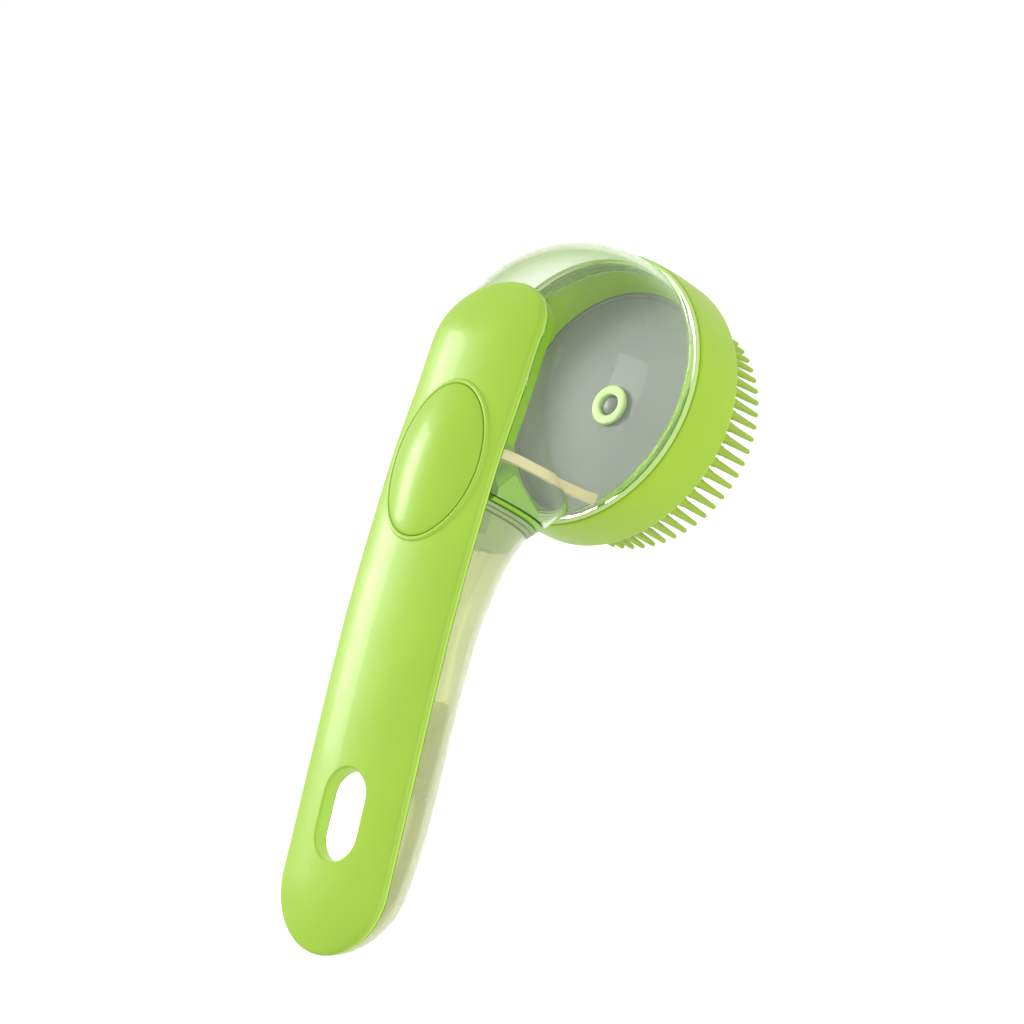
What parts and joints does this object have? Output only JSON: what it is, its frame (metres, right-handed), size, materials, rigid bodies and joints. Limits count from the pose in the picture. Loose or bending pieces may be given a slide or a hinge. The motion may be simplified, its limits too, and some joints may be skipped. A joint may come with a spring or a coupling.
{
  "type": "handheld bath sprayer brush",
  "caption": "Handheld pet bath brush: clear hollow handle with a tank, a pump under a thumb button, and a clear domed head on a silicone bristle pad that sprays through its centre.",
  "frame": {"origin": "centre of the spray disc's flat outer face, in the middle of the bristle pad", "axes": "+Z away from the bristles towards the cover and button; the handle runs along -X; Y across the handle"},
  "size_m": [0.2069, 0.0808, 0.086],
  "materials": {
    "green_plastic": "glossy injection-moulded lime green",
    "green_silicone": "soft satin silicone",
    "clear_plastic": "clear, tinted pale green",
    "grey_plastic": "glossy grey-green",
    "cream_rubber": "matt soft rubber or foam",
    "white_plastic": "matt white",
    "dark_rubber": "matt dark elastomer",
    "steel": "bright stainless wire"
  },
  "bodies": {
    "handle": {"head_dome": "clear_plastic", "handle_shell": "clear_plastic", "neck_plug": "green_plastic", "neck_seal": "dark_rubber", "neck_gasket": "cream_rubber", "tank_lid": "green_plastic", "spine_cover": "green_plastic", "pump_deck": "green_plastic", "pump_cylinder": "white_plastic", "pump_screw_left": "steel", "pump_screw_right": "steel", "inlet_valve_seat": "white_plastic", "dip_tube": "cream_rubber", "outlet_tube": "white_plastic", "return_spring": "steel", "filter_foam_front": "cream_rubber", "filter_foam_rear": "cream_rubber"},
    "button": {"thumb_button": "green_plastic", "pump_piston": "white_plastic", "piston_seal": "dark_rubber"},
    "brush_head": {"head_ring": "green_plastic", "ring_seal": "cream_rubber", "valve_plate": "grey_plastic", "valve_grommet": "green_silicone", "bristle_pad": "green_silicone", "pad_retainer": "green_plastic", "spray_disc": "green_plastic", "poppet_spring": "steel"},
    "poppet": {"outlet_poppet": "grey_plastic"},
    "check_ball": {"inlet_ball": "steel"}
  },
  "joints": [
    {"name": "button_press", "type": "slide", "parent": "handle", "child": "button", "axis": [0, 0, -1], "range_m": [0, 0.0025], "stiffness_N_per_m": 600, "springref_m": -0.002, "deforming": ["return_spring"]},
    {"name": "head_twist", "type": "hinge", "parent": "handle", "child": "brush_head", "pos_m": [0, 0, 0], "axis": [0, 0, 1], "range_deg": [0, 60]},
    {"name": "poppet_lift", "type": "slide", "parent": "brush_head", "child": "poppet", "axis": [0, 0, -1], "range_m": [0, 0.0012], "stiffness_N_per_m": 60, "springref_m": -0.0005, "deforming": ["poppet_spring"]},
    {"name": "check_ball_lift", "type": "slide", "parent": "handle", "child": "check_ball", "axis": [0, 0, 1], "range_m": [0, 0.0008]}
  ]
}
